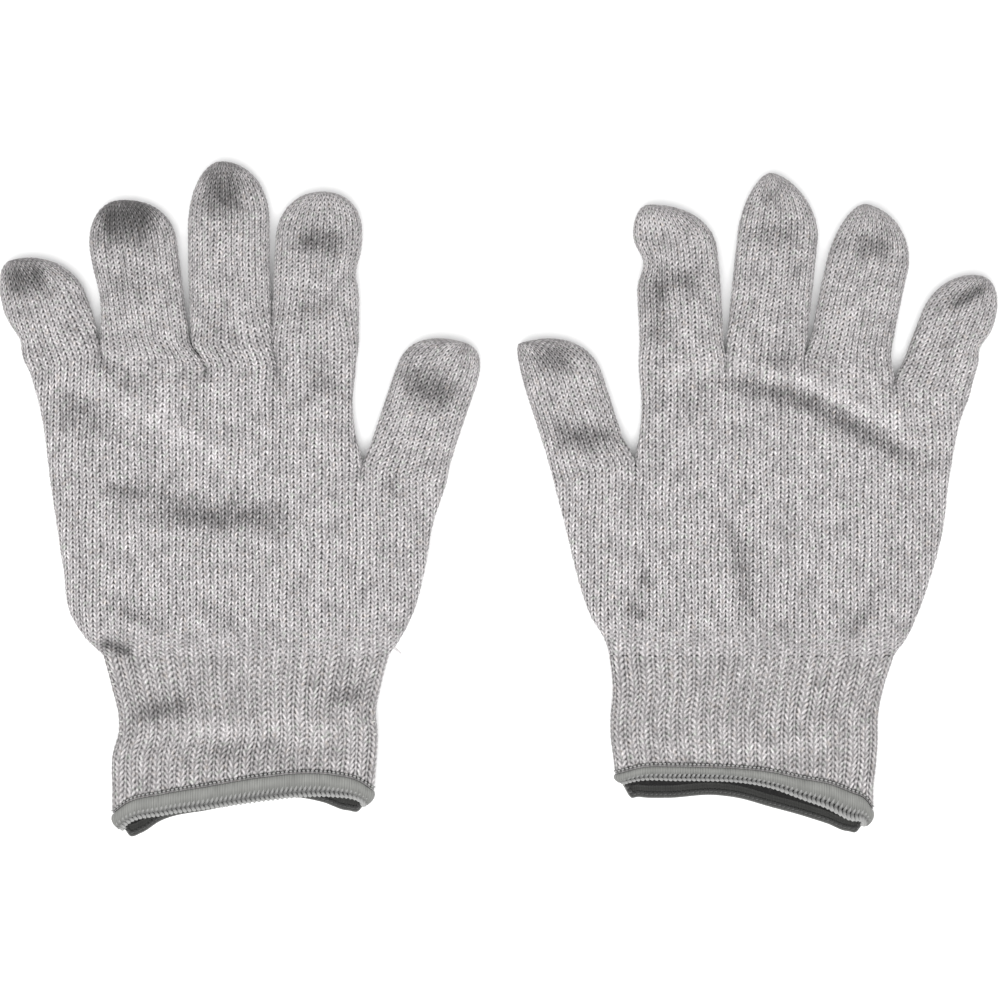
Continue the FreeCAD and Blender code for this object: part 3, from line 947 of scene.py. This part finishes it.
    def bend_cuff(self, piece):
        """Bakes a cuff piece's place into its mesh."""
        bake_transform(piece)

    def along_mouth(self, pitch):
        """Evenly spaced places round the mouth: points, outward ways, tangents, shares across
        from -1 to 1, and the length run."""
        ring = np.concatenate([self.mouth_ring, self.mouth_ring[:1]])
        length = run_along(ring)
        count = round(length[-1] / pitch)
        wanted = np.arange(count) * length[-1] / count
        points = np.stack([np.interp(wanted, length, ring[:, axis]) for axis in range(3)], axis=1)
        tangent = np.roll(points, -1, axis=0) - np.roll(points, 1, axis=0)
        tangent /= np.linalg.norm(tangent, axis=1, keepdims=True)
        out = np.cross(tangent, [0.0, 1.0, 0.0])
        out /= np.linalg.norm(out, axis=1, keepdims=True)
        left, right = self.shape["mouth_edges"]
        share = np.clip((points[:, 0] - left) / (right - left) * 2 - 1, -1, 1)
        return points, out, tangent, share, wanted

    def band_width(self, out, share):
        front, back = self.hem_line(share, True)[1], self.hem_line(share, False)[1]
        return np.where(out[:, 2] > 0, front, back)

    def tuck(self, out):
        """How far the hem's lower edge is drawn in sideways, at places round the mouth."""
        left, right = self.shape["tuck"]
        return np.where(out[:, 0] < 0, left, right) * out[:, 0]

    def build_band(self):
        """The rolled edge under the overlock thread: a flattened roll round the mouth."""
        points, out, tangent, share, run = self.along_mouth(BAND_STEP)
        band = self.band_width(out, share)
        turn = np.linspace(0, 2 * math.pi, BAND_SIDES, endpoint=False)
        thread = 0.5 + 0.5 * np.cos(2 * math.pi * run / BAND_THREAD)
        thick = BAND_THICKNESS / 2 + BAND_RIDGE * thread
        middle = points - out * (BAND_THICKNESS / 2 - BAND_OUTSET)
        middle[:, 1] -= band / 2
        ring = middle[:, None] + out[:, None] * (np.sin(turn)[None] * thick[:, None])[..., None]
        ring[..., 1] += np.cos(turn)[None] * band[:, None] / 2
        ring[..., 0] -= self.tuck(out)[:, None] * ((1 - np.cos(turn)[None]) / 2) ** 2
        ring[..., 2] = np.maximum(ring[..., 2], FLOOR_GAP)
        grid = ring[:, ::-1]
        ones = np.ones(grid.shape[:2])
        # Painted shade on the roll's inner face, and some on its lower edge.
        inner_face = ease(INNER_FROM - np.sin(turn))
        lower_edge = ease(LOWER_FROM - np.cos(turn))
        inward = np.maximum(inner_face, EDGE_SHADE * lower_edge)[::-1]
        fields = {"points": grid, "wale": ones * run[:, None],
                  "course": ones * (np.cos(turn)[::-1] * BAND_WRAP)[None],
                  "relief": ones * mix(1 - RIDGE_RELIEF, 1.0, thread[:, None]),
                  "shade": ones * inward[None]}
        closed = {key: np.concatenate([value, value[:1]]) for key, value in fields.items()}
        piece = grids_to_piece(self.side + "_hem_rolled_band", [closed], self.offset)
        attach(piece, self.side + "_cuff")
        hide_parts(self.side + "_hem_band")
        self.pieces["band"] = piece

    def build_hem_threads(self):
        """The chain stitches above the band and the overlock loops on its edge."""
        points, out, tangent, _, _ = self.along_mouth(CHAIN_PITCH)
        along = np.linspace(-1, 1, CHAIN_POINTS)[None, :, None]
        reach = along * CHAIN_FILL * CHAIN_PITCH / 2
        bow = CHAIN_OUTSET + CHAIN_BOW * (1 - along ** 2)
        paths = points[:, None] + tangent[:, None] * reach + out[:, None] * bow
        paths[..., 1] += CHAIN_RISE
        grids = yarns(paths, CHAIN_YARN)
        chain = grids_to_piece(self.side + "_hem_chain_stitch", grids, self.offset)
        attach(chain, self.side + "_cuff")
        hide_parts(self.side + "_chain_stitch")
        self.pieces["chain"] = chain
        points, out, tangent, share, _ = self.along_mouth(LOOP_PITCH)
        band = self.band_width(out, share)
        turn = np.linspace(LOOP_START, LOOP_END, LOOP_POINTS) * math.pi
        front = ease(LOOP_FADE * (out[:, 2] - LOOP_SIDE))
        reach = curve_through(*zip(*self.shape["loops"]), share) * front
        climb = (LOOP_CLIMB * band * front)[:, None] * np.maximum(np.cos(turn), 0)[None]
        back = ease(-BACK_FADE * out[:, 2])
        down = (band - LOOP_TUCK - BACK_LOOP_RAISE * back)[:, None] - climb
        down += reach[:, None] * np.sin(turn)[None]
        depth = BAND_THICKNESS / 2 * (1 - LOOP_WRAP * np.cos(turn))[None] - LOOP_OUTSET
        depth = depth - CLIMB_OUTSET * climb
        slant = LOOP_SLANT * LOOP_PITCH * np.cos(LOOP_WAVES * (turn - turn[0]))[None, :, None]
        paths = points[:, None] - out[:, None] * depth[..., None] + tangent[:, None] * slant
        paths[..., 1] -= down
        paths[..., 0] -= self.tuck(out)[:, None] * np.clip(down / band[:, None], 0, 1) ** 2
        grids = yarns(paths, LOOP_YARN)
        # Painted shade on the loops of the mouth's back edge, which lie inside the mouth, and in the
        # gap between the zigzag's two rows.
        between_rows = np.exp(-((turn / math.pi - LOOP_BEND) / LOOP_GAP) ** 2)[:, None]
        for grid, inside in zip(grids, back):
            grid["shade"] += np.maximum(inside, LOOP_SHADE * between_rows)
        loops = grids_to_piece(self.side + "_hem_overlock_loops", grids, self.offset)
        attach(loops, self.side + "_cuff")
        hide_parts(self.side + "_overlock_edge")
        self.pieces["loops"] = loops

    def build_elastic(self):
        """Rounds of elastic yarn laid between the faces of the cuff's knitting."""
        low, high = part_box(self.side + "_cuff_elastic")
        last = high.y / MM - self.offset[1]
        first = low.y / MM - self.offset[1]
        columns = self.cuff_points[:, ::ELASTIC_STEP]
        paths = []
        for y in np.linspace(last, first, ELASTIC_ROUNDS):
            row = np.abs(columns[..., 1] - y).argmin(axis=0)
            path = columns[row, np.arange(columns.shape[1])].copy()
            path[:, 1] = y
            away = path - path.mean(axis=0)
            away[:, 1] = 0.0
            away /= np.linalg.norm(away, axis=1, keepdims=True)
            away[:, 2] = np.sign(away[:, 2])
            away[:, 0] *= ELASTIC_SIDE
            path -= away * ELASTIC_INSET
            paths.append(np.concatenate([path, path[:1]]))
        grids = yarns(paths, ELASTIC_YARN, ELASTIC_SIDES, taper=False)
        piece = grids_to_piece(self.side + "_cuff_elastic_yarns", grids, self.offset)
        self.bend_cuff(piece)
        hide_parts(self.side + "_cuff_elastic")
        self.pieces["elastic"] = piece


def build_yarn_tail(glove):
    """Loose end of yarn at the side of the left palm."""
    low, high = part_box("left_yarn_tail")
    end = np.array([low.x, low.y, (low.z + high.z) / 2]) / MM
    share = np.linspace(0, 1, TAIL_POINTS)[:, None]
    reach = (high.x - low.x) / MM
    path = end + np.hstack([(share - 1) * reach, -TAIL_START - TAIL_DROOP * share ** 2,
                            TAIL_ARCH * (np.sin(TAIL_TURN * share) - 0.5)])
    piece = grids_to_piece("left_loose_yarn_end", yarns([path], TAIL_YARN), np.zeros(3))
    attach(piece, "left_hand")
    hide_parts("left_yarn_tail")
    glove.pieces["tail"] = piece


# ---- materials

class Surface:
    """A node material, with short calls for the nodes that these surfaces use."""

    def __init__(self, name, roughness, sheen):
        self.material = bpy.data.materials.new(name)
        self.material.use_nodes = True
        self.tree = self.material.node_tree
        self.shader = self.tree.nodes["Principled BSDF"]
        self.shader.inputs["Roughness"].default_value = roughness
        self.shader.inputs["Sheen Weight"].default_value = sheen
        self.shader.inputs["Sheen Roughness"].default_value = SHEEN_ROUGHNESS
        self.shader.inputs["Specular IOR Level"].default_value = SPECULAR_LEVEL

    def node(self, kind, inputs=(), **settings):
        made = self.tree.nodes.new(kind)
        for key, value in settings.items():
            setattr(made, key, value)
        for place, value in dict(inputs).items():
            if isinstance(value, bpy.types.NodeSocket):
                self.tree.links.new(value, made.inputs[place])
            else:
                made.inputs[place].default_value = value
        return made

    def knit_place(self, scale):
        """Place on the knitting in millimetres, times a scale."""
        place = self.node("ShaderNodeUVMap", uv_map="knit").outputs[0]
        return self.node("ShaderNodeVectorMath", {0: place, 1: scale},
                         operation="MULTIPLY").outputs[0]

    def field(self, name):
        return self.node("ShaderNodeAttribute", attribute_name=name).outputs["Fac"]

    def noise(self, place, scale, detail=2.0):
        return self.node("ShaderNodeTexNoise", {"Vector": place, "Scale": scale,
                                                "Detail": detail}).outputs["Fac"]

    def ramp(self, factor, stops):
        """Colour or grey by factor, from (place, colour) stops."""
        made = self.node("ShaderNodeValToRGB", {0: factor})
        elements = made.color_ramp.elements
        while len(elements) < len(stops):
            elements.new(0.5)
        for element, (place, colour) in zip(elements, stops):
            element.position = place
            colour = (colour,) * 3 if isinstance(colour, float) else colour
            element.color = (*colour, 1.0)
        return made.outputs[0]

    def product(self, *colours):
        """Colours multiplied together, one after another. The mix node's inputs 6 and 7 and its
        output 2 are the ones for colours."""
        result = colours[0]
        for colour in colours[1:]:
            result = self.node("ShaderNodeMix", {0: 1.0, 6: result, 7: colour},
                               data_type="RGBA", blend_type="MULTIPLY").outputs[2]
        return result

    def bump(self, heights, distance):
        """Adds bumps one on another, then gives them to the shader."""
        normal = None
        for height, strength in heights:
            inputs = {"Height": height, "Strength": strength, "Distance": distance}
            if normal:
                inputs["Normal"] = normal
            normal = self.node("ShaderNodeBump", inputs).outputs[0]
        self.tree.links.new(normal, self.shader.inputs["Normal"])

    def colour(self, socket):
        self.tree.links.new(socket, self.shader.inputs["Base Color"])


def knit_material(name, hole, yarn, warmth):
    """Heather yarn with flecks of other fibres, light on the stitches' legs, with painted shade in
    the holes between them.
    """
    surface = Surface(name, roughness=0.92, sheen=0.25)
    place = surface.knit_place((2.3, 1.8, 1.0))
    # shade is painted shade from folds, needle holes and the cuff's inside, and below 0 a painted
    # highlight on ridges
    shade = surface.field("shade")
    relief = surface.node("ShaderNodeMath", {0: shade, 1: -SHADE_RELIEF, 2: surface.field("relief")},
                          operation="MULTIPLY_ADD").outputs[0]
    # The relief's low end is painted shade in the holes between the stitches.
    grey = surface.ramp(relief, [(0.0, hole), (0.35, mix(hole, yarn, 0.22)),
                                 (0.65, mix(hole, yarn, 0.60)), (1.0, yarn)])
    fleck = surface.ramp(surface.noise(place, 1.15, 3.0),
                         [(0.28, 0.42), (0.42, 0.84), (0.58, 1.05), (0.72, 1.38)])
    cloud = surface.ramp(surface.noise(place, 0.14, 3.0), [(0.3, 0.78), (0.5, 0.98), (0.7, 1.12)])
    tint = surface.ramp(surface.noise(place, 0.42, 2.0),
                        [(0.30, (0.94, 1.0, 0.93)), (0.42, (1.0, 1.0, 1.0)),
                         (0.58, (1.0, 0.985, 0.99)), (0.74, (1.0, 0.96, 0.90))])
    # painted shade, multiplied into the colour
    shaded = surface.ramp(shade, [(0.0, 1.0), (0.25, 0.86), (0.5, 0.64), (1.0, 0.14)])
    surface.colour(surface.product(grey, fleck, cloud, tint, shaded, (*warmth, 1.0)))
    fibre = surface.noise(surface.knit_place((9.0, 2.6, 1.0)), 1.0, 4.0)
    fuzz = surface.noise(place, 6.0, 3.0)
    surface.bump([(fibre, 0.5), (fuzz, 0.35)], 0.25 * MM)
    return surface.material


def thread_material(name, dark, light, inside, warmth):
    """Sewing thread or rolled hem: fine threads side by side, with painted shade on the mouth's
    inside.
    """
    surface = Surface(name, roughness=0.85, sheen=0.15)
    place = surface.knit_place((1.0, 1.0, 1.0))
    threads = surface.noise(surface.knit_place((3.2, 0.12, 1.0)), 1.0, 2.0)
    grey = surface.ramp(surface.field("relief"), [(0.2, dark), (0.9, light)])
    lines = surface.ramp(threads, [(0.32, 0.74), (0.5, 1.0), (0.7, 1.12)])
    soil = surface.ramp(surface.noise(place, 0.16, 3.0), [(0.3, 0.85), (0.65, 1.05)])
    # painted shade: inside is the colour's factor at full shade
    shaded = surface.ramp(surface.field("shade"), [(0.0, 1.0), (1.0, inside)])
    surface.colour(surface.product(grey, lines, soil, shaded, (*warmth, 1.0)))
    surface.bump([(threads, 0.5), (surface.noise(place, 5.0, 3.0), 0.25)], 0.2 * MM)
    return surface.material


def floor_material():
    """Plain near-white paper with a trace of grain."""
    surface = Surface("pale_floor", roughness=0.9, sheen=0.0)
    place = surface.node("ShaderNodeTexCoord").outputs["Object"]
    surface.colour(surface.ramp(surface.noise(place, 30.0, 2.0), [(0.3, 0.90), (0.7, 0.92)]))
    return surface.material


def paint(gloves):
    # hole is the painted shade in the holes between the stitches
    plain = knit_material("heather_plain_knit", hole=0.022, yarn=0.68, warmth=(1.0, 0.965, 0.975))
    rib = knit_material("heather_rib_knit", hole=0.022, yarn=0.62, warmth=(1.0, 0.965, 0.97))
    # inside sets how dark the painted shade makes each thread
    band = thread_material("rolled_hem_thread", dark=0.09, light=0.215, inside=0.16,
                           warmth=(0.99, 1.0, 0.95))
    loops = thread_material("overlock_thread", dark=0.10, light=0.32, inside=0.10,
                            warmth=(1.0, 1.0, 0.98))
    elastic = thread_material("elastic_yarn", dark=0.35, light=0.6, inside=0.6,
                              warmth=(1.0, 1.0, 0.96))
    finishes = {"cuff": (rib, "rib_knit"), "band": (band, "rolled_hem"),
                "chain": (loops, "sewing_yarn"), "loops": (loops, "sewing_yarn"),
                "elastic": (elastic, "elastic_yarn")}
    for glove in gloves:
        for part, piece in glove.pieces.items():
            material, slot = finishes.get(part, (plain, "plain_knit"))
            piece.data.materials.append(material)


# ---- studio

def build_floor():
    mesh = bpy.data.meshes.new("floor")
    corners = [(-FLOOR_REACH, -FLOOR_REACH, 0), (FLOOR_REACH, -FLOOR_REACH, 0),
               (FLOOR_REACH, FLOOR_REACH, 0), (-FLOOR_REACH, FLOOR_REACH, 0)]
    mesh.from_pydata(corners, [], [(0, 1, 2, 3)])
    floor = bpy.data.objects.new("floor", mesh)
    floor.location.z = FLOOR_LEVEL * MM
    floor.data.materials.append(floor_material())
    bpy.context.scene.collection.objects.link(floor)


def area_light(name, place, target, size, power):
    light = bpy.data.lights.new(name, "AREA")
    light.shape = "DISK"
    light.size = size
    light.energy = power
    lamp = bpy.data.objects.new(name, light)
    lamp.location = place
    way = np.array(target, float) - np.array(place, float)
    lamp.rotation_euler = mathutils.Vector(way).to_track_quat("-Z", "Y").to_euler()
    bpy.context.scene.collection.objects.link(lamp)


def build_studio():
    build_floor()
    centre = (cad_low + cad_high) / 2
    area_light("key", KEY_PLACE, centre, KEY_SIZE, KEY_POWER)
    area_light("fill", FILL_PLACE, centre, FILL_SIZE, FILL_POWER)
    world = bpy.data.worlds.new("studio")
    bpy.context.scene.world = world
    world.use_nodes = True
    background = world.node_tree.nodes["Background"]
    background.inputs["Color"].default_value = (1.0, 1.0, 1.0, 1.0)
    background.inputs["Strength"].default_value = WORLD_LIGHT
    bpy.context.scene.view_settings.view_transform = "Standard"


def build_camera():
    """Straight down, far enough away to see the gloves nearly without perspective."""
    camera = bpy.data.cameras.new("camera")
    camera.lens = CAMERA_LENS
    distance = VIEW_WIDTH / 2 * MM / math.tan(math.atan(camera.sensor_width / 2 / camera.lens))
    holder = bpy.data.objects.new("camera", camera)
    holder.location = (VIEW_CENTRE[0] * MM, VIEW_CENTRE[1] * MM, distance + VIEW_LEVEL * MM)
    bpy.context.scene.collection.objects.link(holder)
    bpy.context.scene.camera = holder


gloves = [Glove(LEFT), Glove(RIGHT)]
for glove in gloves:
    glove.build_hand()
    glove.build_cuff()
    glove.build_band()
    glove.build_hem_threads()
    glove.build_elastic()
build_yarn_tail(gloves[0])
paint(gloves)
build_studio()
build_camera()
